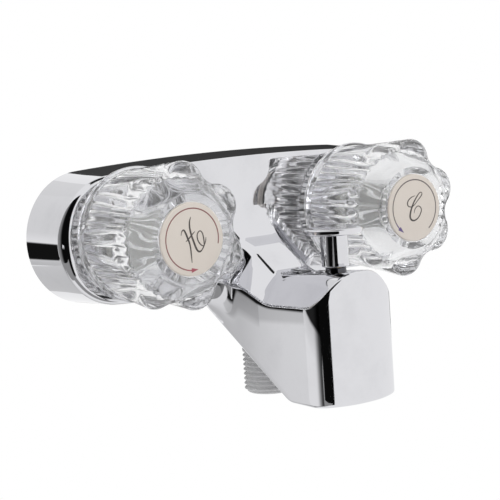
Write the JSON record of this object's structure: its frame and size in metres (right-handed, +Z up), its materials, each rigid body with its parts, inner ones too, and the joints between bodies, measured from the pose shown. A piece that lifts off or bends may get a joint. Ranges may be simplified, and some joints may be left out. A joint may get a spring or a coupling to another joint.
{
  "type": "tub and shower faucet",
  "caption": "Wall-mounted tub and shower faucet: oblong chrome plate with a sloping spout, clear lobed knobs, a lift-knob diverter and a threaded shower outlet.",
  "frame": {"origin": "midpoint between the two inlets, in the plane of the wall", "axes": "+X along the wall towards the cold side, +Y into the wall, +Z up; the spout reaches out along -Y"},
  "size_m": [0.1644, 0.1232, 0.0931],
  "materials": {
    "chrome_plating": "bright chrome plating on a moulded shell",
    "clear_acrylic": "clear polished acrylic",
    "index_plastic": "smooth cream plastic with a printed ring",
    "waterway_plastic": "light grey moulded acetal",
    "white_plastic": "white moulded nylon",
    "brass": "machined brass",
    "stainless": "stainless steel",
    "rubber": "black nitrile rubber",
    "foam": "dark closed-cell foam"
  },
  "bodies": {
    "faucet_body": {"chrome_shell": "chrome_plating", "wall_gasket": "foam", "manifold": "waterway_plastic", "spout_tube": "waterway_plastic", "shower_outlet": "waterway_plastic", "outlet_ring": "rubber", "rod_bush": "chrome_plating", "rod_ring": "rubber", "hot_valve_body": "waterway_plastic", "hot_seat": "rubber", "hot_seat_spring": "stainless", "hot_stem_guide": "white_plastic", "hot_guide_ring": "rubber", "hot_bonnet_nut": "chrome_plating", "hot_lock_nut": "white_plastic", "hot_shank_washer": "stainless", "cold_valve_body": "waterway_plastic", "cold_seat": "rubber", "cold_seat_spring": "stainless", "cold_stem_guide": "white_plastic", "cold_guide_ring": "rubber", "cold_bonnet_nut": "chrome_plating", "cold_lock_nut": "white_plastic", "cold_shank_washer": "stainless"},
    "hot_control": {"hot_stem": "white_plastic", "hot_stem_ring": "rubber", "hot_knob": "clear_acrylic", "hot_screw": "stainless", "hot_index_button": "index_plastic"},
    "cold_control": {"cold_stem": "white_plastic", "cold_stem_ring": "rubber", "cold_knob": "clear_acrylic", "cold_screw": "stainless", "cold_index_button": "index_plastic"},
    "diverter": {"lift_knob": "chrome_plating", "lift_rod": "brass", "diverter_gate": "white_plastic", "gate_seal": "rubber"}
  },
  "joints": [
    {"name": "hot_turn", "type": "hinge", "parent": "faucet_body", "child": "hot_control", "pos_m": [-0.0508, -0.045, 0], "axis": [0, -1, 0], "range_deg": [0, 180]},
    {"name": "cold_turn", "type": "hinge", "parent": "faucet_body", "child": "cold_control", "pos_m": [0.0508, -0.045, 0], "axis": [0, -1, 0], "range_deg": [0, 180]},
    {"name": "diverter_lift", "type": "slide", "parent": "faucet_body", "child": "diverter", "axis": [0, 0, 1], "range_m": [0, 0.012]}
  ]
}
